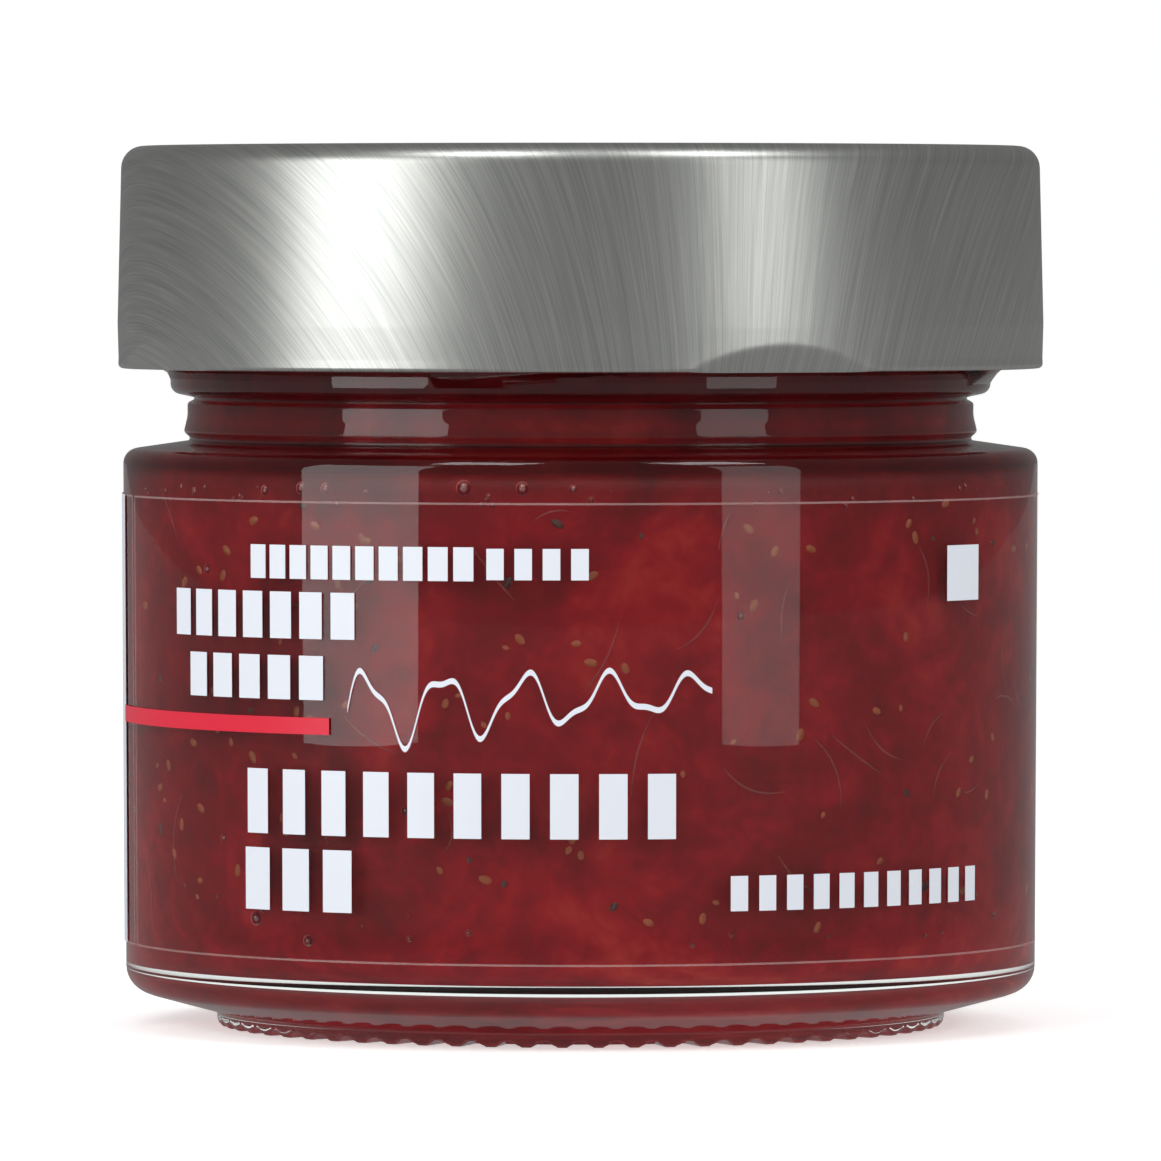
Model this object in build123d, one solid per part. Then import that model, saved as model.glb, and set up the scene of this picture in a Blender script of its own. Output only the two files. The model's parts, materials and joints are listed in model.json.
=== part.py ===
"""A small round jar of jam: glass jar, metal twist-off cap, the jam in it and a clear wrap label.

Millimetres, +Z up, the jar stands on z = 0 with its axis on Z, and its front looks along -Y.
An azimuth is an angle round the jar, 0 at the front and growing to the right.
"""

from build123d import *
from math import atan2, degrees, pi
import os

# Glass body
body_radius = 36.3  # outside, at the shoulder
body_taper = 0.2  # the body is this much slimmer at the heel
body_height = 45.6  # ground to the shoulder's edge, before rounding
body_wall = 2.0
shoulder_width = 5.1  # from the body's side in to the neck
shoulder_rise = 0.8
shoulder_round = 1.2
shoulder_glass = 1.7  # thickness of the shoulder
cavity_shoulder_round = 1.5

# Heel, foot and base
heel_height = 3.1  # ground to the heel's edge, before rounding
heel_round = 2.1
foot_inset = 7.4  # from the body's side in to the foot
foot_height = 1.15
foot_draft = 0.2
foot_round = 0.35
foot_width = 4.5  # of the ring that touches the ground
punt_height = 2.4  # hollow under the base
punt_round = 12.0
base_glass = 5.2  # ground to the lowest jam
floor_rise = 0.7  # the floor is this much higher in the middle
floor_round = 12.0
cavity_heel_round = 3.5

# Ribs that are moulded into the foot
rib_count = 64
rib_groove_radius = 1.0
rib_groove_depth = 0.5
rib_land = 0.6  # unbroken inner edge of the foot

# Neck and finish
neck_wall = 2.2
neck_height = 2.95  # straight neck, from the shoulder to the groove
neck_foot_round = 1.6
groove_depth = 0.75
groove_height = 0.4
bead_reach = 1.35  # how far the bead stands out from the neck
bead_height = 2.4
bead_round = 0.85
finish_height = 20.1  # groove to rim
finish_step = 0.5  # the threaded neck is this much wider than the plain one
rim_round = 0.9

# Thread ridges
thread_starts = 4
thread_lead = 14.2
thread_ridge_radius = 1.3
thread_ridge_reach = 2.6  # from the plain neck out to the ridge's crest
thread_ridge_angle = 70.0
thread_ridge_round = 1.0
thread_azimuth = -21.0  # low end of the ridge that shows at the front
thread_rise = 1.6  # low end of a ridge above the groove

# Cap
cap_sheet = 0.25
cap_height = 17.6
cap_reach = 5.2  # from the plain neck out to the top of the cap's side
cap_flare = 0.3  # the side is this much wider at its curl
cap_top_round = 1.75
cap_panel_drop = 0.5
cap_panel_margin = 9.0  # from the side in to the dropped panel
cap_panel_slope = 1.2
cap_panel_round = 1.0
cap_button_radius = 9.0
cap_button_rise = 0.35
cap_button_slope = 3.0
cap_button_round = 4.0
curl_radius = 0.75
curl_width = 1.7
curl_lip = 1.3  # how high the rolled edge turns back up
lug_count = 4
lug_azimuth = 25.5
lug_span = 26.8  # degrees
lug_dent = 1.0  # how far the side is pressed in at the curl
lug_height = 2.1
lug_clearance = 0.5  # to the thread ridges

# Jam
headspace = 7.45  # rim down to the jam
fill_clearance = 0.02

# Wrap label
label_thickness = 0.08
label_clearance = 0.02
label_heel_margin = 3.65  # heel's edge up to the label
label_shoulder_margin = 3.4  # label up to the shoulder's edge
label_seam_azimuth = -75.0
label_seam_gap = 0.7

# Places that follow from the sizes above
heel_radius = body_radius - body_taper
foot_radius = body_radius - foot_inset
neck_radius = body_radius - shoulder_width
neck_bore = neck_radius - neck_wall
neck_bottom_z = body_height + shoulder_rise
groove_z = neck_bottom_z + neck_height
rim_z = groove_z + finish_height
finish_radius = neck_radius + finish_step
ridge_crest_radius = neck_radius + thread_ridge_reach
cap_top_z = rim_z + cap_sheet
cap_bottom_z = cap_top_z - cap_height
cap_top_radius = neck_radius + cap_reach
cap_radius = cap_top_radius + cap_flare
jam_top_z = rim_z - headspace


def polar_angle(azimuth):
    """The angle from +X of an azimuth, which counts from the front."""
    return azimuth - 90.0


def outline(corners):
    """A closed face in the XZ plane from corners (radius, height, rounding)."""
    points = [(radius, height) for radius, height, _ in corners]
    line = FilletPolyline(*points, radius=[rounding for _, _, rounding in corners], close=True)
    return Plane.XZ * make_face(line)


def side_radius(height):
    """Outside radius of the tapered glass body at a height."""
    share = (height - heel_height) / (body_height - heel_height)
    return heel_radius + body_taper * share


def cavity_corners(clearance, top):
    """Corners of the inside of the jar, from the axis at the floor up to its top."""
    floor_z = base_glass + clearance
    wide = body_radius - body_wall - clearance
    shoulder_z = body_height - shoulder_glass - clearance
    bore = neck_bore - clearance
    slope = shoulder_rise * (wide - bore) / shoulder_width
    return [
        (0, floor_z + floor_rise, 0),
        (0.3 * wide, floor_z + floor_rise, floor_round),
        (0.75 * wide, floor_z, floor_round),
        (wide - body_taper, floor_z, cavity_heel_round),
        (wide, shoulder_z, cavity_shoulder_round),
        (bore, shoulder_z + slope, cavity_shoulder_round),
        (bore, top, 0),
    ]


def glass_corners():
    """Corners of the glass, from the axis under the base, up the outside and down the inside."""
    bead_radius = neck_radius + bead_reach
    foot_inner = foot_radius - foot_draft - foot_width
    outside = [
        (0, punt_height, 0),
        (foot_inner - 2 * foot_width, punt_height, punt_round),
        (foot_inner, 0, 0),
        (foot_radius - foot_draft, 0, foot_round),
        (foot_radius, foot_height, foot_round),
        (heel_radius, heel_height, heel_round),
        (body_radius, body_height, shoulder_round),
        (neck_radius, neck_bottom_z, neck_foot_round),
        (neck_radius, groove_z, groove_height / 2),
        (neck_radius - groove_depth, groove_z + groove_height, groove_height / 4),
        (bead_radius, groove_z + groove_height + bead_reach / 3, bead_round),
        (bead_radius, groove_z + groove_height + bead_height, bead_round),
        (finish_radius, groove_z + 1.5 * groove_height + bead_height, 0),
        (finish_radius, rim_z, rim_round),
        (neck_bore, rim_z, rim_round),
    ]
    inside = cavity_corners(0, rim_z)[:-1]
    return outside + inside[::-1]


def thread_ridge(start):
    """One ridge of the twist-off thread: part of a ring, tilted by the thread's climb, ends rounded."""
    centre_radius = ridge_crest_radius - thread_ridge_radius
    section = Plane.XZ * Pos(centre_radius, 0) * Circle(thread_ridge_radius)
    ridge = revolve(section, Axis.Z, thread_ridge_angle)
    ends = [edge for edge in ridge.edges() if edge.radius < 2 * thread_ridge_radius]
    ridge = Rot(0, 0, -thread_ridge_angle / 2) * fillet(ends, thread_ridge_round)
    climb = degrees(atan2(thread_lead, 2 * pi * centre_radius))
    middle_z = groove_z + thread_rise + thread_ridge_radius + thread_lead * thread_ridge_angle / 720.0
    azimuth = thread_azimuth + thread_ridge_angle / 2 + start * 360.0 / thread_starts
    return Pos(0, 0, middle_z) * Rot(0, 0, polar_angle(azimuth)) * Rot(climb, 0, 0) * ridge


def foot_grooves():
    """Radial grooves under the foot, which leave ribs between them and a plain inner land."""
    inner = foot_radius - foot_draft - foot_width + rib_land
    length = foot_width + foot_height
    axis_z = rib_groove_depth - rib_groove_radius
    groove = Pos(inner + length / 2, 0, axis_z) * Rot(0, 90, 0) * Cylinder(rib_groove_radius, length)
    return [Rot(0, 0, place * 360.0 / rib_count) * groove for place in range(rib_count)]


def glass_jar():
    """The glass: body, ribbed foot, neck, bead and thread ridges in one piece."""
    jar = revolve(outline(glass_corners()), Axis.Z)
    jar -= foot_grooves()
    for start in range(thread_starts):
        jar += thread_ridge(start)
    return jar


def cap_sheet_line():
    """Outer side of the cap's sheet, from the axis over the panel and down to the rolled edge."""
    panel_z = cap_top_z - cap_panel_drop
    panel_radius = cap_top_radius - cap_panel_margin
    curl_inner = cap_radius - curl_width
    corners = [
        (0, panel_z + cap_button_rise, 0),
        (cap_button_radius - cap_button_slope, panel_z + cap_button_rise, cap_button_round),
        (cap_button_radius, panel_z, cap_button_round),
        (panel_radius, panel_z, cap_panel_round),
        (panel_radius + cap_panel_slope, cap_top_z, cap_panel_round),
        (cap_top_radius, cap_top_z, cap_top_round),
        (cap_radius, cap_bottom_z, curl_radius),
        (curl_inner, cap_bottom_z, curl_radius),
        (curl_inner, cap_bottom_z + curl_lip, 0),
    ]
    points = [(radius, height) for radius, height, _ in corners]
    return FilletPolyline(*points, radius=[rounding for _, _, rounding in corners[1:-1]])


def lug_block():
    """The folded metal behind one lug, at azimuth 0 on +X."""
    inner = ridge_crest_radius + lug_clearance
    outer = cap_radius - cap_sheet / 2
    low = cap_bottom_z
    block = outline([
        (inner, low, curl_radius / 2),
        (outer, low, 0),
        (outer, low + lug_height, 0),
        (inner, low + lug_height, curl_radius / 2),
    ])
    return Rot(0, 0, -lug_span / 2) * revolve(block, Axis.Z, lug_span)


def lug_cut():
    """What pressing one lug takes off the cap's lower edge: all beyond a leaning plane, on +X."""
    origin = (cap_radius - lug_dent, 0, cap_bottom_z)
    leaning = Plane(origin=origin, x_dir=(0, 1, 0), z_dir=(lug_height, 0, -lug_dent))
    reach = (Align.CENTER, Align.CENTER, Align.MIN)
    return leaning * Box(2 * cap_radius, 4 * lug_height, cap_radius, align=reach)


def lid():
    """The twist-off cap: one pressed sheet with a rolled edge and four lugs."""
    line = cap_sheet_line()
    sheet = offset(line, amount=cap_sheet, side=Side.RIGHT, closed=True)
    cap = revolve(Plane.XZ * make_face(sheet.edges()), Axis.Z)
    for place in range(lug_count):
        turn = Rot(0, 0, polar_angle(lug_azimuth + place * 360.0 / lug_count))
        cap += turn * lug_block()
        cap -= turn * lug_cut()
    return cap


def jam():
    """The jam: all of the jar's inside up to a level top."""
    corners = cavity_corners(fill_clearance, jam_top_z)
    return revolve(outline(corners + [(0, jam_top_z, 0)]), Axis.Z)


def label_film():
    """The clear wrap label, a thin band round the body that stops short of itself at its seam."""
    low = heel_height + label_heel_margin
    high = body_height - label_shoulder_margin
    gap = 360.0 * label_seam_gap / (2 * pi * body_radius)
    inner = label_clearance
    outer = label_clearance + label_thickness
    band = outline([
        (side_radius(low) + inner, low, 0),
        (side_radius(low) + outer, low, 0),
        (side_radius(high) + outer, high, 0),
        (side_radius(high) + inner, high, 0),
    ])
    start = polar_angle(label_seam_azimuth) + gap / 2
    return Rot(0, 0, start) * revolve(band, Axis.Z, 360.0 - gap)


def main():
    """Builds each piece and writes it under its own name."""
    os.makedirs("parts", exist_ok=True)
    for make in (glass_jar, lid, jam, label_film):
        export_step(make(), f"parts/{make.__name__}.step")


main()
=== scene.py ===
"""Looks of a small round jar of red fruit jam with a brushed twist-off cap.

Metres, +Z up, the jar stands on z = 0 with its axis on Z, and its front looks along -Y.
An azimuth is an angle round the jar in degrees, 0 at the front and growing to the right.
"""

import json
import logging
import math
import random
from dataclasses import dataclass, field
from enum import Enum
from typing import Callable, Sequence

import bpy
from mathutils import Matrix, Vector

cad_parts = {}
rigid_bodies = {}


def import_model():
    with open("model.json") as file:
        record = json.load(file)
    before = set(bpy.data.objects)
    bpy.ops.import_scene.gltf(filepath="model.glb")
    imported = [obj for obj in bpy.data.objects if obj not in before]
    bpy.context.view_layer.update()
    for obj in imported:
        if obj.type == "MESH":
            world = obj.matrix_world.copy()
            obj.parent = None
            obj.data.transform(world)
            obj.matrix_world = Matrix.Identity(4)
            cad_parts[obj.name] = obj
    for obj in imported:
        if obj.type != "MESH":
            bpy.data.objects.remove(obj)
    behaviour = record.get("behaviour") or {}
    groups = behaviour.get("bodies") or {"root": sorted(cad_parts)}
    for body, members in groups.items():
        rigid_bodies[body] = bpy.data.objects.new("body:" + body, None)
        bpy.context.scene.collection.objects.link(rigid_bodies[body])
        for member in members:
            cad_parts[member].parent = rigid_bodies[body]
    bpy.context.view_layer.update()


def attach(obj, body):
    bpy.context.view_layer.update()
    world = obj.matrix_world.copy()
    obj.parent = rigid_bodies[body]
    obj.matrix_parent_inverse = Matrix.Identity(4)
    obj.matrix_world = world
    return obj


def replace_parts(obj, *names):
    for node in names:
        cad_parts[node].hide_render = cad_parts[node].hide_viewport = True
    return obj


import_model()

MM = 0.001
BODY = "root"
LOG = logging.getLogger("jam_jar")

Corner = tuple[float, float, float]
Point = tuple[float, float]


class Ink(Enum):
    """Inks of the wrap label, as sRGB."""

    WHITE = "E9EEF7"
    RED = "E4203C"
    GREY = "8A8D92"


class Fleck(Enum):
    """Tones of the seeds in the jam, as sRGB."""

    PALE = "9C4A20"
    DARK = "4A1A10"


def linear(srgb: str) -> tuple[float, float, float, float]:
    """An sRGB hex colour as linear red, green, blue and full alpha."""
    shares = [int(srgb[place:place + 2], 16) / 255.0 for place in (0, 2, 4)]
    straight = [s / 12.92 if s <= 0.04045 else ((s + 0.055) / 1.055) ** 2.4 for s in shares]
    return (*straight, 1.0)


def add_node(tree: bpy.types.NodeTree, kind: str, settings: dict | None = None,
             links: dict | None = None) -> bpy.types.Node:
    """Adds one node with its settings and links.

    Args:
        tree: The node tree it goes in.
        kind: The node's type without "ShaderNode".
        settings: Values by attribute name, or by input name or number.
        links: Output sockets by input name or number.

    Returns:
        The node.
    """
    node = tree.nodes.new("ShaderNode" + kind)
    for name, value in (settings or {}).items():
        if isinstance(name, str) and hasattr(node, name):
            setattr(node, name, value)
        else:
            node.inputs[name].default_value = value
    for name, socket in (links or {}).items():
        tree.links.new(socket, node.inputs[name])
    return node


def new_material(name: str) -> tuple[bpy.types.Material, bpy.types.NodeTree]:
    """An empty node material and its tree."""
    material = bpy.data.materials.new(name)
    material.use_nodes = True
    material.node_tree.nodes.clear()
    return material, material.node_tree


def set_ramp(node: bpy.types.Node, stops: Sequence[tuple[float, str]]) -> None:
    """Gives a colour ramp its stops of (place, sRGB)."""
    ramp = node.color_ramp
    while len(ramp.elements) < len(stops):
        ramp.elements.new(1.0)
    for element, (place, colour) in zip(ramp.elements, stops):
        element.position = place
        element.color = linear(colour)


def deselect() -> None:
    """Deselects every object, so that an operator acts on new pieces only."""
    for piece in bpy.context.view_layer.objects:
        piece.select_set(False)


def rounded(corners: Sequence[Corner], arc_step: float = 11.0) -> list[Point]:
    """Points of an open outline with its corners rounded.

    Args:
        corners: Radius, height and rounding of each corner, in millimetres.
        arc_step: The largest turn between two points, in degrees.

    Returns:
        Radius and height of each point, in metres.
    """
    points = []
    for place, (radius, height, rounding) in enumerate(corners):
        here = Vector((radius, height))
        if not rounding or place in (0, len(corners) - 1):
            points.append((radius * MM, height * MM))
            continue
        before = Vector(corners[place - 1][:2]) - here
        after = Vector(corners[place + 1][:2]) - here
        half = before.angle(after) / 2
        reach = min(rounding / math.tan(half), 0.48 * before.length, 0.48 * after.length)
        bisector = (before.normalized() + after.normalized()).normalized()
        middle = here + bisector * reach / math.cos(half)
        first = here + before.normalized() * reach - middle
        last = here + after.normalized() * reach - middle
        turn = math.copysign(math.pi - 2 * half, first.x * last.y - first.y * last.x)
        steps = max(2, math.ceil(abs(math.degrees(turn)) / arc_step))
        for step in range(steps + 1):
            angle = turn * step / steps
            x = first.x * math.cos(angle) - first.y * math.sin(angle)
            z = first.x * math.sin(angle) + first.y * math.cos(angle)
            points.append(((middle.x + x) * MM, (middle.y + z) * MM))
    return points


def spun(name: str, points: Sequence[Point], segments: int) -> bpy.types.Object:
    """A piece of revolution round Z: one vertex, extruded along its outline and spun.

    Args:
        name: The piece's name.
        points: Radius and height of each point of its outline.
        segments: Steps of the spin.

    Returns:
        The piece, with its normals outwards where it is closed.
    """
    deselect()
    bpy.ops.mesh.primitive_plane_add(size=MM, location=(points[0][0], 0, points[0][1]))
    piece = bpy.context.object
    piece.name = piece.data.name = name
    bpy.ops.object.transform_apply(location=True, rotation=True, scale=True)
    bpy.ops.object.mode_set(mode="EDIT")
    bpy.ops.mesh.merge(type="CENTER")
    for before, after in zip(points, points[1:]):
        step = (after[0] - before[0], 0, after[1] - before[1])
        bpy.ops.mesh.extrude_region_move(TRANSFORM_OT_translate={"value": step})
    bpy.ops.mesh.select_all(action="SELECT")
    bpy.ops.mesh.spin(steps=segments, angle=math.tau, center=(0, 0, 0), axis=(0, 0, 1))
    bpy.ops.mesh.select_all(action="SELECT")
    bpy.ops.mesh.remove_doubles(threshold=0.002 * MM)
    bpy.ops.mesh.normals_make_consistent(inside=False)
    bpy.ops.object.mode_set(mode="OBJECT")
    return piece


def reshape(piece: bpy.types.Object, move: Callable[[Vector], Vector]) -> None:
    """Moves every vertex of a piece to where move puts it."""
    for vertex in piece.data.vertices:
        vertex.co = move(vertex.co)


def thickened(piece: bpy.types.Object, thickness: float, offset: float) -> bpy.types.Object:
    """Gives a sheet its thickness, to the side that offset says."""
    deselect()
    piece.select_set(True)
    bpy.context.view_layer.objects.active = piece
    solid = piece.modifiers.new("wall", "SOLIDIFY")
    solid.thickness = thickness
    solid.offset = offset
    bpy.ops.object.modifier_apply(modifier=solid.name)
    return piece


def joined(name: str, pieces: Sequence[bpy.types.Object]) -> bpy.types.Object:
    """Several pieces as one, under a new name."""
    deselect()
    for piece in pieces:
        piece.select_set(True)
    bpy.context.view_layer.objects.active = pieces[0]
    bpy.ops.object.join()
    whole = bpy.context.object
    whole.name = whole.data.name = name
    return whole


def copied(pattern: bpy.types.Object, place: Matrix) -> bpy.types.Object:
    """A copy of a piece with its own mesh, moved by place."""
    copy = pattern.copy()
    copy.data = pattern.data.copy()
    copy.data.transform(place)
    bpy.context.collection.objects.link(copy)
    return copy


def scattered(name: str, pattern: bpy.types.Object, places: Sequence[Matrix]) -> bpy.types.Object:
    """Copies of a piece at each place, joined, without the piece they are copied from."""
    copies = [copied(pattern, place) for place in places]
    bpy.data.objects.remove(pattern)
    return joined(name, copies)


def around(azimuth: float, radius: float, height: float) -> Vector:
    """The point at an azimuth, a radius and a height."""
    angle = math.radians(azimuth)
    return Vector((radius * math.sin(angle), -radius * math.cos(angle), height))


def azimuth_of(point: Vector) -> float:
    """The azimuth of a point, in degrees."""
    return math.degrees(math.atan2(point.x, -point.y))


def finished(piece: bpy.types.Object, material: bpy.types.Material,
             smooth: float = 40.0) -> bpy.types.Object:
    """Dresses a piece, smooths it, puts it on the jar's body and reports it.

    Args:
        piece: The piece.
        material: Its finish.
        smooth: Edges that turn less than this many degrees are shaded smooth.

    Returns:
        The same piece.
    """
    piece.data.materials.clear()
    piece.data.materials.append(material)
    deselect()
    piece.select_set(True)
    bpy.context.view_layer.objects.active = piece
    bpy.ops.object.shade_smooth_by_angle(angle=math.radians(smooth))
    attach(piece, BODY)
    LOG.info("%s: %d faces, %s", piece.name, len(piece.data.polygons), material.name)
    return piece


@dataclass(frozen=True)
class SodaLimeGlass:
    """Pressed soda-lime container glass: clear, with the faint green that iron gives a thick edge."""

    tint: str = "F4FBF8"
    index: float = 1.52

    def material(self) -> bpy.types.Material:
        """Clear glass that lets lamp light through to the jam."""
        material, tree = new_material("soda_lime_glass")
        glass = add_node(tree, "BsdfPrincipled", {
            "Base Color": linear(self.tint), "Roughness": 0.0, "IOR": self.index,
            "Transmission Weight": 1.0})
        clear = add_node(tree, "BsdfTransparent", {"Color": linear(self.tint)})
        path = add_node(tree, "LightPath")
        mix = add_node(tree, "MixShader", links={
            0: path.outputs["Is Shadow Ray"], 1: glass.outputs[0], 2: clear.outputs[0]})
        add_node(tree, "OutputMaterial", links={"Surface": mix.outputs[0]})
        return material


@dataclass(frozen=True)
class BrushedTinplate:
    """Tinplate brushed one way while flat and then drawn: fine strokes that swing round the side."""

    light: str = "E6E7E1"
    dark: str = "C6C9C7"
    roughness: float = 0.35
    stroke_length: float = 14 * MM
    stroke_width: float = 0.16 * MM  # real strokes are finer, this is the finest that shows
    coarse_width: float = 0.7 * MM
    stroke_azimuth: float = -72.0  # where the strokes lie level on the side
    drawn_from: float = 69.7 * MM  # height of the flat sheet before it was drawn

    def material(self) -> bpy.types.Material:
        """Satin metal whose strokes run across the sheet that the cap was drawn from."""
        material, tree = new_material("brushed_tinplate")
        place = add_node(tree, "TexCoord")
        parts = add_node(tree, "SeparateXYZ", links={0: place.outputs["Object"]})
        flat = add_node(tree, "CombineXYZ", links={0: parts.outputs[0], 1: parts.outputs[1]})
        radius = add_node(tree, "VectorMath", {"operation": "LENGTH"}, {0: flat.outputs[0]})
        away = add_node(tree, "VectorMath", {"operation": "NORMALIZE"}, {0: flat.outputs[0]})
        depth = add_node(tree, "Math", {"operation": "SUBTRACT", 0: self.drawn_from},
                         {1: parts.outputs[2]})
        reach = add_node(tree, "Math", {"operation": "ADD"},
                         {0: radius.outputs["Value"], 1: depth.outputs[0]})
        blank = add_node(tree, "VectorMath", {"operation": "SCALE"},
                         {0: away.outputs[0], "Scale": reach.outputs[0]})
        streaks = [self._strokes(tree, blank.outputs[0], width)
                   for width in (self.stroke_width, self.coarse_width)]
        grain = add_node(tree, "Math", {"operation": "MULTIPLY_ADD", 1: 0.6}, {0: streaks[0]})
        coarse = add_node(tree, "Math", {"operation": "MULTIPLY", 1: 0.4}, {0: streaks[1]})
        tree.links.new(coarse.outputs[0], grain.inputs[2])
        tone = add_node(tree, "ValToRGB", links={0: grain.outputs[0]})
        set_ramp(tone, [(0.36, self.dark), (0.64, self.light)])
        bump = add_node(tree, "Bump", {"Strength": 0.22, "Distance": 0.03 * MM},
                        {"Height": grain.outputs[0]})
        metal = add_node(tree, "BsdfPrincipled", {"Metallic": 1.0, "Roughness": self.roughness},
                         {"Base Color": tone.outputs[0], "Normal": bump.outputs[0]})
        add_node(tree, "OutputMaterial", links={"Surface": metal.outputs[0]})
        return material

    def _strokes(self, tree: bpy.types.NodeTree, place: bpy.types.NodeSocket,
                 width: float) -> bpy.types.NodeSocket:
        """Noise drawn out along the strokes.

        Args:
            tree: The material's tree.
            place: The place on the flat sheet.
            width: Width of one stroke.

        Returns:
            The strength of the stroke at that place.
        """
        turn = add_node(tree, "Mapping", {"Rotation": (0, 0, -math.radians(self.stroke_azimuth))},
                        {"Vector": place})
        scale = add_node(tree, "VectorMath", {
            "operation": "MULTIPLY", 1: (1 / self.stroke_length, 1 / width, 1.0)},
            {0: turn.outputs[0]})
        noise = add_node(tree, "TexNoise", {"Scale": 1.0, "Detail": 2.0, "Roughness": 0.6},
                         {"Vector": scale.outputs[0]})
        return noise.outputs[0]


@dataclass(frozen=True)
class BerryJam:
    """Cooked berry jam: a deep red gel, clouded with darker and brighter pulp, with painted shade by height: a
    little darker upwards, a dark olive band under the shoulder and a darker neck.
    """

    cloud_size: float = 11 * MM
    pulp_size: float = 2.4 * MM
    # Heights over which the painted shade runs.
    low: float = 5 * MM
    high: float = 62 * MM

    def material(self) -> bpy.types.Material:
        """Clouded red that gets its gloss from the glass in front of it."""
        material, tree = new_material("berry_jam")
        place = add_node(tree, "TexCoord")
        cloud = add_node(tree, "TexNoise", {
            "Scale": 1 / self.cloud_size, "Detail": 5.0, "Roughness": 0.62, "Distortion": 0.5},
            {"Vector": place.outputs["Object"]})
        pulp = add_node(tree, "TexNoise", {
            "Scale": 1 / self.pulp_size, "Detail": 3.0, "Roughness": 0.6, "Distortion": 0.8},
            {"Vector": place.outputs["Object"]})
        share = add_node(tree, "Math", {"operation": "MULTIPLY", 1: 0.25}, {0: pulp.outputs[0]})
        mixed = add_node(tree, "Math", {"operation": "MULTIPLY_ADD", 1: 0.75},
                         {0: cloud.outputs[0], 2: share.outputs[0]})
        red = add_node(tree, "ValToRGB", links={0: mixed.outputs[0]})
        set_ramp(red, [(0.34, "70000A"), (0.47, "8C0010"), (0.56, "A20A19"), (0.7, "C0342C")])
        # Painted shade by height, multiplied into the red: a little darker upwards, a dark olive band under
        # the shoulder where the glass looks dark, and a darker neck.
        parts = add_node(tree, "SeparateXYZ", links={0: place.outputs["Object"]})
        rise = add_node(tree, "MapRange", {"From Min": self.low, "From Max": self.high},
                        {"Value": parts.outputs[2]})
        depth = add_node(tree, "ValToRGB", links={0: rise.outputs[0]})
        set_ramp(depth, [(0.0, "FFFFFF"), (0.1, "F4E4E4"), (0.62, "E8DCDC"), (0.685, "9A9084"),
                         (0.72, "7A7466"), (0.75, "D8B0B0"), (0.8, "B09C9C")])
        colour = add_node(tree, "Mix", {"data_type": "RGBA", "blend_type": "MULTIPLY", 0: 1.0},
                          {6: red.outputs[0], 7: depth.outputs[0]})
        gel = add_node(tree, "BsdfPrincipled", {"Roughness": 0.5, "Specular IOR Level": 0.15},
                       {"Base Color": colour.outputs[2]})
        add_node(tree, "OutputMaterial", links={"Surface": gel.outputs[0]})
        return material


@dataclass(frozen=True)
class Plain:
    """One even colour with one gloss, such as ink, seed husk or fibre."""

    name: str
    colour: str
    roughness: float = 0.5
    clear: float = 0.0  # share of light that goes straight through

    def material(self) -> bpy.types.Material:
        """A plain surface, see-through by its share."""
        material, tree = new_material(self.name)
        solid = add_node(tree, "BsdfPrincipled", {
            "Base Color": linear(self.colour), "Roughness": self.roughness})
        surface = solid.outputs[0]
        if self.clear:
            clear = add_node(tree, "BsdfTransparent")
            mix = add_node(tree, "MixShader", {0: self.clear}, {1: surface, 2: clear.outputs[0]})
            surface = mix.outputs[0]
        add_node(tree, "OutputMaterial", links={"Surface": surface})
        return material


@dataclass(frozen=True)
class JamBubble:
    """Air caught at the glass: a dark red middle, a pinkish rim of painted sheen and a small bright dot of
    gloss.
    """

    middle: str = "6A0A12"
    # Colour of the painted sheen at the rim.
    rim: str = "E0807A"

    def material(self) -> bpy.types.Material:
        """Red with a painted pale sheen where the bubble turns away."""
        material, tree = new_material("jam_bubble")
        # Painted sheen: the rim's pale colour stands in for the light that a bubble's edge catches.
        painted_sheen_facing = add_node(tree, "LayerWeight", {"Blend": 0.45})
        tone = add_node(tree, "ValToRGB", links={0: painted_sheen_facing.outputs["Facing"]})
        set_ramp(tone, [(0.3, self.middle), (0.75, self.rim)])
        skin = add_node(tree, "BsdfPrincipled", {"Roughness": 0.08, "Coat Weight": 1.0},
                        {"Base Color": tone.outputs[0]})
        add_node(tree, "OutputMaterial", links={"Surface": skin.outputs[0]})
        return material


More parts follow.
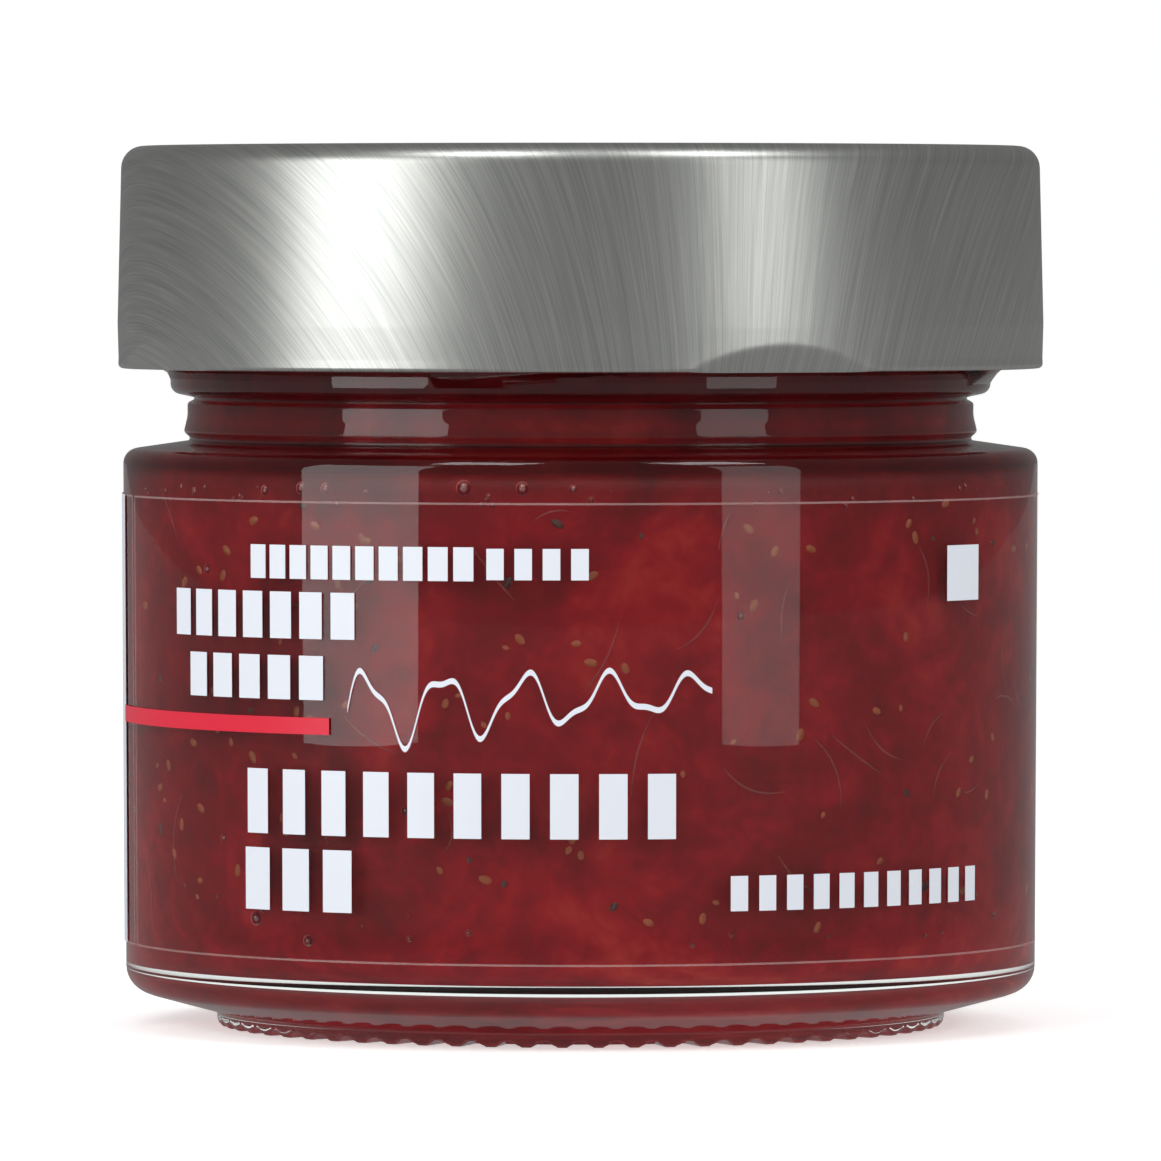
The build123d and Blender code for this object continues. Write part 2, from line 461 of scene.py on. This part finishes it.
@dataclass
class GlassJar:
    """The glass, in millimetres, with its thread ridges and foot grooves as real relief."""

    body_radius: float = 36.3
    body_taper: float = 0.2
    body_height: float = 45.6
    wall: float = 2.0
    heel_height: float = 3.1
    foot_radius: float = 28.9
    foot_width: float = 4.5
    rib_count: int = 64
    rib_radius: float = 1.0
    rib_depth: float = 0.5
    rib_land: float = 0.6
    neck_radius: float = 31.2
    neck_bore: float = 29.0
    shoulder_z: float = 46.4
    groove_z: float = 49.35
    rim_z: float = 69.45
    ridge_radius: float = 1.3
    ridge_crest: float = 33.8
    ridge_angle: float = 70.0
    ridge_azimuth: float = -21.0
    ridge_low: float = 52.25
    ridge_starts: int = 4
    lead: float = 14.2
    segments: int = 512

    def side(self, height: float) -> float:
        """Outside radius of the tapered body at a height, in metres."""
        share = (height / MM - self.heel_height) / (self.body_height - self.heel_height)
        return (self.body_radius - self.body_taper * (1 - share)) * MM

    def cavity(self, reach: float, top: float) -> list[Corner]:
        """Corners of the inside, from the axis up, moved by reach into the wall."""
        wide = self.body_radius - self.wall + reach
        bore = self.neck_bore + reach
        return [
            (0, 5.9 - reach, 0), (10.3, 5.9 - reach, 12), (23.5, 5.3 - reach, 12),
            (wide - self.body_taper, 5.3 - reach, 4.8 + reach), (wide, 43.9 + reach, 1.5),
            (bore, 44.73 + reach, 1.5), (bore, top, 0)]

    def outline(self) -> list[Point]:
        """The glass's closed outline, from the axis under the base and back to it inside."""
        inner = self.foot_radius - 0.2 - self.foot_width
        neck, groove, rim = self.neck_radius, self.groove_z, self.rim_z
        rows = [(neck + 0.5, groove + 3.1 + 0.25 * row, 0) for row in range(20)]
        outside = [
            (0, 2.4, 0), (inner - 9, 2.4, 12), (inner, 0, 0),
            (inner + self.rib_land, 0, 0), (inner + self.rib_land + 0.08, 0, 0),
            (inner + 2.5, 0, 0), (self.foot_radius - 0.2, 0, 0.35),
            (self.foot_radius, 0.6, 0), (self.foot_radius, 1.15, 0.35),
            (self.body_radius - self.body_taper, self.heel_height, 2.1),
            (self.body_radius, self.body_height, 1.2),
            (neck - 0.45, self.shoulder_z, 0.3), (neck + 0.3, 47.05, 0.35), (neck, 48.3, 2.0),
            (neck, groove, 0.3), (neck - 0.75, groove + 0.4, 0.12),
            (neck + 1.35, groove + 0.85, 0.85), (neck + 1.35, groove + 2.8, 0.85)]
        lip = [(neck + 0.5, rim, 0.9), (self.neck_bore, rim, 0.9)]
        return rounded(outside + rows + lip + self.cavity(0, rim)[-2::-1])

    def relief(self, point: Vector) -> Vector:
        """Where a vertex of the spun glass goes: out to a ridge, or up into a foot groove."""
        radius = math.hypot(point.x, point.y) / MM
        azimuth = azimuth_of(point)
        height = point.z / MM
        if radius > self.neck_radius - 0.2 and self.groove_z + 0.5 < height < self.groove_z + 8:
            crest = self._ridge(azimuth, height)
            if crest > radius:
                return Vector((*(point.xy * crest / radius), point.z))
        inner = self.foot_radius - 0.2 - self.foot_width + self.rib_land
        if height < 1.0 and radius > inner + 0.04:
            pitch = 360.0 / self.rib_count
            off = (azimuth + 90.0 + pitch / 2) % pitch - pitch / 2
            aside = radius * math.sin(math.radians(off))
            lift = math.sqrt(max(0.0, self.rib_radius ** 2 - aside ** 2)) - self.rib_depth
            return Vector((point.x, point.y, max(point.z, lift * MM)))
        return point

    def _ridge(self, azimuth: float, height: float) -> float:
        """Radius of the nearest thread ridge at a place, or nothing where there is none."""
        best = 0.0
        centre = self.ridge_crest - self.ridge_radius
        for start in range(self.ridge_starts):
            along = (azimuth - self.ridge_azimuth - start * 360.0 / self.ridge_starts) % 360.0
            along = along - 360.0 if along > 250.0 else along
            past = max(0.0, self.ridge_radius - math.radians(along) * centre,
                       math.radians(along - self.ridge_angle) * centre + self.ridge_radius)
            across = height - self.ridge_low - self.lead * along / 360.0
            left = self.ridge_radius ** 2 - across ** 2 - past ** 2
            if left > 0:
                best = max(best, centre + math.sqrt(left))
        return best

    def build(self) -> None:
        """Makes and dresses the glass."""
        jar = spun("jar_glass", self.outline(), self.segments)
        reshape(jar, self.relief)
        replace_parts(finished(jar, SodaLimeGlass().material()), "glass_jar")


@dataclass
class Jam:
    """The jam and what floats in it, in millimetres."""

    jar: GlassJar
    into_wall: float = 0.25
    top: float = 62.0
    seed_length: float = 1.25
    seed_width: float = 0.8
    seed_count: int = 210
    fibre_count: int = 70
    fine_bubbles: int = 110
    draw: random.Random = field(default_factory=lambda: random.Random(7))
    bubbles: tuple[tuple[float, float, float], ...] = (
        (-45.6, 9.85, 1.4), (-36.9, 8.3, 0.95), (-22.1, 8.7, 0.5), (-14.8, 43.2, 1.4),
        (-7.3, 43.2, 1.2), (-0.9, 43.2, 0.7), (-37.7, 43.1, 1.1), (-33.9, 43.1, 1.0),
        (-43.7, 42.9, 1.0), (-57.8, 42.7, 0.8), (-61.0, 43.0, 0.5), (-32.2, 41.9, 0.5),
        (-54.9, 36.7, 0.95), (20.5, 33.5, 0.9), (-51.7, 15.9, 0.8), (-22.6, 18.5, 0.8))

    def wide(self, height: float) -> float:
        """Radius of the jam's side at a height, in metres."""
        return self.jar.side(height) - (self.jar.wall - self.into_wall) * MM

    def build(self) -> None:
        """Makes the jam, its seeds, fibres and bubbles."""
        corners = self.jar.cavity(self.into_wall, self.top) + [(0, self.top, 0)]
        jam = spun("jam_fill", rounded(corners, 8.0), 256)
        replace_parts(finished(jam, BerryJam().material()), "jam")
        self._seeds("pale_seeds", Fleck.PALE, self.seed_count)
        self._seeds("dark_seeds", Fleck.DARK, self.seed_count // 4)
        self._fibres()
        self._bubbles()

    def _spot(self) -> tuple[float, float]:
        """A random azimuth and height on the jam's side."""
        return self.draw.uniform(-180, 180), self.draw.uniform(9.5, 42.0) * MM

    def _at(self, azimuth: float, height: float, sunk: float, roll: float) -> Matrix:
        """The place of a small thing on the jam's side, sunk in it and rolled."""
        turn = Matrix.Rotation(math.radians(azimuth - 90), 4, "Z")
        spot = Matrix.Translation(around(azimuth, self.wide(height) - sunk, height))
        return spot @ turn @ Matrix.Rotation(roll, 4, "X")

    def _seeds(self, name: str, tone: Fleck, count: int) -> None:
        """Teardrop seeds that lie in the jam's side."""
        deselect()
        bpy.ops.mesh.primitive_uv_sphere_add(segments=8, ring_count=6, radius=MM / 2)
        seed = bpy.context.object
        length, width = self.seed_length, self.seed_width

        def drop(point: Vector) -> Vector:
            """A sphere drawn out to a seed that narrows to its top."""
            slim = width * (1 - 0.45 * max(0.0, point.z / MM + 0.1))
            return Vector((0.55 * slim * point.x, slim * point.y, length * point.z))

        reshape(seed, drop)
        places = []
        for _ in range(count):
            azimuth, height = self._spot()
            size = self.draw.uniform(0.75, 1.1)
            roll = self.draw.uniform(0, math.tau)
            places.append(self._at(azimuth, height, 0.12 * MM, roll) @ Matrix.Scale(size, 4))
        seeds = scattered(name, seed, places)
        finished(seeds, Plain("husk_" + name, tone.value, 0.45).material())

    def _fibres(self) -> None:
        """Thin pale curved fibres on the jam's side."""
        strands = []
        for _ in range(self.fibre_count):
            azimuth, height = self._spot()
            length = self.draw.uniform(2.5, 7.0) * MM
            lean = self.draw.uniform(0, math.tau)
            bow = self.draw.uniform(-0.35, 0.35)
            strands.append(self._strand(azimuth, height, length, lean, bow))
        fibres = joined("pulp_fibres", strands)
        finished(fibres, Plain("pulp_fibre", "A8423E", 0.6, 0.45).material())

    def _strand(self, azimuth: float, height: float, length: float, lean: float,
                bow: float) -> bpy.types.Object:
        """One fibre: a narrow curved strip with a little thickness.

        Args:
            azimuth: Where its middle is round the jar.
            height: How high its middle is.
            length: Its length.
            lean: The direction it runs in.
            bow: How far it curves, as a share of its length.

        Returns:
            The fibre.
        """
        deselect()
        bpy.ops.mesh.primitive_grid_add(x_subdivisions=12, y_subdivisions=1, size=1)
        strand = bpy.context.object

        def lay(point: Vector) -> Vector:
            """Bends the strip and lays it on the jam."""
            taper = 1 - 3.2 * point.x ** 2
            along = point.x * length
            across = point.y * 0.16 * MM * taper + bow * length * (0.25 - point.x ** 2) * 2
            right = along * math.cos(lean) - across * math.sin(lean)
            up = along * math.sin(lean) + across * math.cos(lean)
            level = min(max(height + up, 7.5 * MM), 43 * MM)
            radius = self.wide(level) + 0.02 * MM
            return around(azimuth + math.degrees(right / radius), radius, level)

        reshape(strand, lay)
        return thickened(strand, 0.04 * MM, -1.0)

    def _bubbles(self) -> None:
        """Air bubbles: the larger ones at their places and fine ones under the shoulder and above the heel."""
        deselect()
        bpy.ops.mesh.primitive_uv_sphere_add(segments=12, ring_count=8, radius=MM / 2)
        bubble = bpy.context.object
        places = [self._at(azimuth, height * MM, 0.3 * size * MM, 0) @ Matrix.Scale(size, 4)
                  for azimuth, height, size in self.bubbles]
        for _ in range(self.fine_bubbles):
            azimuth = self.draw.uniform(-180, 180)
            high = self.draw.random() < 0.6
            height = self.draw.uniform(41.6, 43.2) if high else self.draw.uniform(8.3, 12.0)
            size = self.draw.uniform(0.2, 0.5)
            place = self._at(azimuth, height * MM, 0.08 * MM, 0)
            places.append(place @ Matrix.Scale(size, 4))
        finished(scattered("air_bubbles", bubble, places), JamBubble().material(), 180.0)


@dataclass
class Lid:
    """The cap, in millimetres: one pressed sheet with a rolled edge and four lugs."""

    top_z: float = 69.7
    bottom_z: float = 52.1
    top_radius: float = 36.4
    radius: float = 36.7
    sheet: float = 0.25
    curl_width: float = 1.7
    lug_count: int = 4
    lug_azimuth: float = 25.5
    lug_span: float = 26.8
    lug_dent: float = 1.0
    lug_height: float = 2.1
    lug_inner: float = 34.3
    soft: float = 0.12  # how gently a dent runs into the side

    def outline(self) -> list[Point]:
        """Outer side of the sheet, from the axis over the panel to the rolled edge."""
        rows = [(self.radius - 0.3 * (5 - row) / 40, self.bottom_z + 0.8 + 0.28 * row, 0)
                for row in range(10, -1, -1)]
        curl = self.radius - self.curl_width
        return rounded([
            (0, self.top_z - 0.15, 0), (6, self.top_z - 0.15, 4), (9, self.top_z - 0.5, 4),
            (27.4, self.top_z - 0.5, 1), (28.6, self.top_z, 1),
            (self.top_radius, self.top_z, 1.75), *rows, (self.radius, self.bottom_z, 0.7),
            (curl, self.bottom_z, 0.7), (curl, self.bottom_z + 1.3, 0)])

    def relief(self, point: Vector) -> Vector:
        """Where a vertex of the spun sheet goes: in to a lug's dent, or out to its fold."""
        height = point.z / MM - self.bottom_z
        radius = math.hypot(point.x, point.y) / MM
        if height > 2 * self.lug_height or radius < 30:
            return point
        step = 360.0 / self.lug_count
        off = (azimuth_of(point) - self.lug_azimuth + step / 2) % step - step / 2
        facing = math.cos(math.radians(off))
        limit = (self.radius - self.lug_dent * (1 - height / self.lug_height)) / facing
        blend = math.sqrt((radius - limit) ** 2 + self.soft ** 2)
        pressed = min(radius, (radius + limit - blend) / 2 + self.soft / 2)
        if radius < self.radius - self.curl_width + 0.1 and abs(off) < self.lug_span / 2:
            ease = min(1.0, (self.lug_span / 2 - abs(off)) / 2.0)
            pressed = radius + (self.lug_inner - radius) * ease
        return Vector((*(point.xy * pressed / radius), point.z))

    def build(self) -> None:
        """Makes and dresses the cap."""
        cap = spun("cap_sheet", self.outline(), 384)
        deselect()
        cap.select_set(True)
        bpy.context.view_layer.objects.active = cap
        reshape(cap, self.relief)
        if cap.data.polygons[0].normal.z < 0:
            cap.data.flip_normals()
        thickened(cap, self.sheet * MM, -1.0)
        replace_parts(finished(cap, BrushedTinplate().material()), "lid")


@dataclass
class WrapLabel:
    """The clear film round the body and the plain shapes printed on it, in millimetres."""

    jar: GlassJar
    low: float = 6.75
    high: float = 42.2
    film: float = 0.08
    gap: float = 0.02
    seam: float = -75.0
    seam_gap: float = 0.7
    ink: float = 0.03
    edge_highlight_width: float = 0.16

    def wrapped(self, name: str, azimuths: Point, heights: Point, lift: float,
                thickness: float) -> bpy.types.Object:
        """A four-sided patch laid round the jar.

        Args:
            name: The piece's name.
            azimuths: Its left and right ends, in degrees.
            heights: Its lower and upper ends.
            lift: How far its inner side is off the glass.
            thickness: Its thickness.

        Returns:
            The patch.
        """
        deselect()
        columns = max(1, round((azimuths[1] - azimuths[0]) / 1.2))
        rows = max(1, round((heights[1] - heights[0]) / 6))
        bpy.ops.mesh.primitive_grid_add(x_subdivisions=columns, y_subdivisions=rows, size=1)
        patch = bpy.context.object
        patch.name = patch.data.name = name

        def lay(point: Vector) -> Vector:
            """Lays a point of the unit grid on the jar."""
            azimuth = azimuths[0] + (point.x + 0.5) * (azimuths[1] - azimuths[0])
            height = (heights[0] + (point.y + 0.5) * (heights[1] - heights[0])) * MM
            return around(azimuth, self.jar.side(height) + lift * MM, height)

        reshape(patch, lay)
        return thickened(patch, thickness * MM, 1.0)

    def row(self, azimuths: Point, heights: Point, count: int,
            share: float) -> list[bpy.types.Object]:
        """A row of equal plain blocks, each taking a share of its pitch."""
        pitch = (azimuths[1] - azimuths[0]) / (count - 1 + share)
        lift = self.gap + self.film
        return [self.wrapped("block", (azimuths[0] + pitch * place,
                                       azimuths[0] + pitch * (place + share)),
                             heights, lift, self.ink) for place in range(count)]

    def flourish(self) -> bpy.types.Object:
        """A plain flowing line that swells and dies away as it climbs."""
        line = self.wrapped("flourish", (-29.5, 16.1), (26.0, 26.45), self.gap + self.film, self.ink)
        deselect()
        line.select_set(True)
        bpy.context.view_layer.objects.active = line
        bpy.ops.object.mode_set(mode="EDIT")
        bpy.ops.mesh.select_all(action="SELECT")
        bpy.ops.mesh.subdivide(number_cuts=3)
        bpy.ops.object.mode_set(mode="OBJECT")

        def wave(point: Vector) -> Vector:
            """Lifts the line into waves that get smaller to the right."""
            share = (azimuth_of(point) + 29.5) / 45.6
            swing = math.sin(share * 4.5 * math.tau) + 0.3 * math.sin(share * 10 * math.tau)
            lift = (2.8 - 1.7 * share) * swing + 1.6 * share
            return Vector((point.x, point.y, point.z + lift * MM))

        reshape(line, wave)
        return line

    def build(self) -> None:
        """Makes the film, its edges with their painted highlight, and its print."""
        half = math.degrees(self.seam_gap / 2 / self.jar.body_radius)
        left, right = self.seam + half, self.seam + 360.0 - half
        film = self.wrapped("wrap_film", (left, right), (self.low, self.high), self.gap, self.film)
        clear = Plain("cast_film", "101010", 0.12, 0.97).material()
        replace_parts(finished(film, clear), "label_film")
        self._edges(left, right)
        self._print()

    def _edges(self, left: float, right: float) -> None:
        """Cut edges of the film, as thin strips with a painted pale highlight along them."""
        lift = self.gap + self.film
        line = math.degrees(self.edge_highlight_width / self.jar.body_radius)
        strips = [
            self.wrapped("edge", (left, right), (self.low, self.low + self.edge_highlight_width), lift, 0.02),
            self.wrapped("edge", (left, right), (self.high - self.edge_highlight_width, self.high), lift, 0.02),
            self.wrapped("edge", (left, left + line), (self.low, self.high), lift, 0.02),
            self.wrapped("edge", (right - line, right), (self.low, self.high), lift, 0.02)]
        edges = joined("painted_edge_highlights", strips)
        # Painted highlight: the pale colour stands in for the light along the film's cut edges.
        finished(edges, Plain("painted_edge_highlight", "F6D8D4", 0.3, 0.86).material())

    def _print(self) -> None:
        """The print: plain white blocks, a flourish, a field, a red stripe and a plain back panel."""
        lift = self.gap + self.film
        blocks = [self.flourish()]
        blocks += self.row((-44.4, -13.0), (36.2, 38.8), 10, 0.78)
        blocks += self.row((-11.4, 1.0), (36.3, 38.7), 4, 0.62)
        blocks += self.row((-59.8, -28.5), (31.6, 35.2), 7, 0.72)
        blocks += self.row((-56.5, -33.0), (26.9, 30.3), 5, 0.72)
        blocks += self.row((-45.1, 11.6), (16.5, 21.5), 10, 0.58)
        blocks += self.row((-45.5, -29.0), (10.6, 15.4), 3, 0.66)
        blocks += self.row((18.5, 57.8), (10.9, 13.6), 11, 0.6)
        blocks.append(self.wrapped("field", (51.4, 58.3), (34.3, 38.6), lift, self.ink))
        blocks.append(self.wrapped("panel", (148.5, 278.5), (self.low, self.high), lift, self.ink))
        white = joined("white_print", blocks)
        finished(white, Plain("screen_ink_white", Ink.WHITE.value, 0.35).material())
        stripe = self.wrapped("red_stripe", (-81.5, -32.1), (24.25, 25.55), lift + 0.04, self.ink)
        finished(stripe, Plain("screen_ink_red", Ink.RED.value, 0.35).material())
        bars = [self.wrapped("bar", (158.0, 268.0 - 26.0 * (place % 3)),
                             (36.0 - 2.6 * place, 37.0 - 2.6 * place), lift + self.ink, 0.02)
                for place in range(10)]
        panel = joined("panel_bars", bars)
        finished(panel, Plain("screen_ink_grey", Ink.GREY.value, 0.4).material())


@dataclass
class Studio:
    """Floor, white surroundings, soft lamps and the camera."""

    ambient: float = 0.55
    surroundings: float = 0.17
    floor_gloss: float = 0.26
    floor_lift: float = 0.45

    def build(self) -> None:
        """Sets the stage round the jar."""
        self._world()
        self._floor()
        self._lamp("left_card", -55.0, 8.0, (0.24, 0.42), 2.1, 0.42)
        self._lamp("right_card", 44.0, 8.0, (0.15, 0.42), 1.2, 0.42)
        self._lamp("upper_left_card", -34.0, 58.0, (0.22, 0.22), 4.5)
        self._lamp("upper_right_card", 46.0, 58.0, (0.22, 0.22), 4.5)
        self._camera()
        bpy.context.scene.view_settings.view_transform = "Standard"

    def _reflection(self, tree: bpy.types.NodeTree) -> tuple[bpy.types.NodeSocket, ...]:
        """Sockets that are 1 for a mirrored ray, and for a ray that should see the background."""
        path = add_node(tree, "LightPath")
        through = path.outputs["Is Transmission Ray"]
        back = add_node(tree, "Math", {"operation": "SUBTRACT", 0: 1.0}, {1: through})
        mirrored = add_node(tree, "Math", {"operation": "MULTIPLY"},
                            {0: path.outputs["Is Glossy Ray"], 1: back.outputs[0]})
        seen = add_node(tree, "Math", {"operation": "MAXIMUM"},
                        {0: path.outputs["Is Camera Ray"], 1: through})
        return mirrored.outputs[0], seen.outputs[0]

    def _world(self) -> None:
        """White to the eye and through glass, darker in reflections, an even light on the jar."""
        world = bpy.data.worlds.new("studio")
        bpy.context.scene.world = world
        world.use_nodes = True
        tree = world.node_tree
        tree.nodes.clear()
        mirrored, seen = self._reflection(tree)
        lit = add_node(tree, "MapRange", {"To Min": self.ambient, "To Max": self.surroundings},
                       {"Value": mirrored})
        level = add_node(tree, "MapRange", {"To Max": 1.0}, {"Value": seen, "To Min": lit.outputs[0]})
        sky = add_node(tree, "Background", {"Color": (1, 1, 1, 1)}, {"Strength": level.outputs[0]})
        add_node(tree, "OutputWorld", links={"Surface": sky.outputs[0]})

    def _floor(self) -> None:
        """A wide white floor that keeps the jar's shadow."""
        bpy.ops.mesh.primitive_plane_add(size=8.0, location=(0, 0, -0.05 * MM))
        floor = bpy.context.object
        floor.name = "floor"
        material, tree = new_material("floor_card")
        mirrored, seen = self._reflection(tree)
        path = add_node(tree, "LightPath")
        through = path.outputs["Is Transmission Ray"]
        diffuse = add_node(tree, "BsdfDiffuse", {"Color": (1, 1, 1, 1)})
        lift = add_node(tree, "MapRange", {"To Max": self.floor_lift}, {"Value": seen})
        glow = add_node(tree, "Emission", links={"Strength": lift.outputs[0]})
        lit = add_node(tree, "AddShader", links={0: diffuse.outputs[0], 1: glow.outputs[0]})
        bright = add_node(tree, "Emission", {"Strength": 1.0})
        grey = add_node(tree, "Emission", {"Strength": self.floor_gloss})
        clear = add_node(tree, "MixShader", links={0: through, 1: lit.outputs[0], 2: bright.outputs[0]})
        mix = add_node(tree, "MixShader", links={0: mirrored, 1: clear.outputs[0], 2: grey.outputs[0]})
        add_node(tree, "OutputMaterial", links={"Surface": mix.outputs[0]})
        floor.data.materials.append(material)

    def _lamp(self, name: str, azimuth: float, elevation: float, size: Point,
              radiance: float, distance: float = 0.7) -> None:
        """A soft lamp that looks at the middle of the jar.

        Args:
            name: The lamp's name.
            azimuth: Where it stands round the jar.
            elevation: How high it stands, in degrees.
            size: Its width and height.
            radiance: How bright its face is.
            distance: How far off it is.
        """
        middle = Vector((0, 0, 35 * MM))
        rise = math.radians(elevation)
        out = around(azimuth, distance * math.cos(rise), distance * math.sin(rise))
        data = bpy.data.lights.new(name, "AREA")
        data.shape = "RECTANGLE"
        data.size, data.size_y = size
        data.energy = radiance * math.pi * size[0] * size[1]
        lamp = bpy.data.objects.new(name, data)
        lamp.location = middle + out
        lamp.rotation_euler = (-out).to_track_quat("-Z", "Y").to_euler()
        bpy.context.collection.objects.link(lamp)

    def _camera(self) -> None:
        """The camera: a long lens a little above the jar's middle."""
        data = bpy.data.cameras.new("camera")
        data.lens = 356.0
        data.sensor_width = 36.0
        camera = bpy.data.objects.new("camera", data)
        camera.location = (0, -0.912, 0.0627)
        aim = Vector((0, 0, 0.0352)) - Vector(camera.location)
        camera.rotation_euler = aim.to_track_quat("-Z", "Y").to_euler()
        bpy.context.collection.objects.link(camera)
        bpy.context.scene.camera = camera


def main() -> None:
    """Builds the jar from the glass outwards, then the studio."""
    logging.basicConfig(level=logging.INFO)
    jar = GlassJar()
    jar.build()
    Jam(jar).build()
    Lid().build()
    WrapLabel(jar).build()
    Studio().build()


if __name__ == "__main__":
    main()
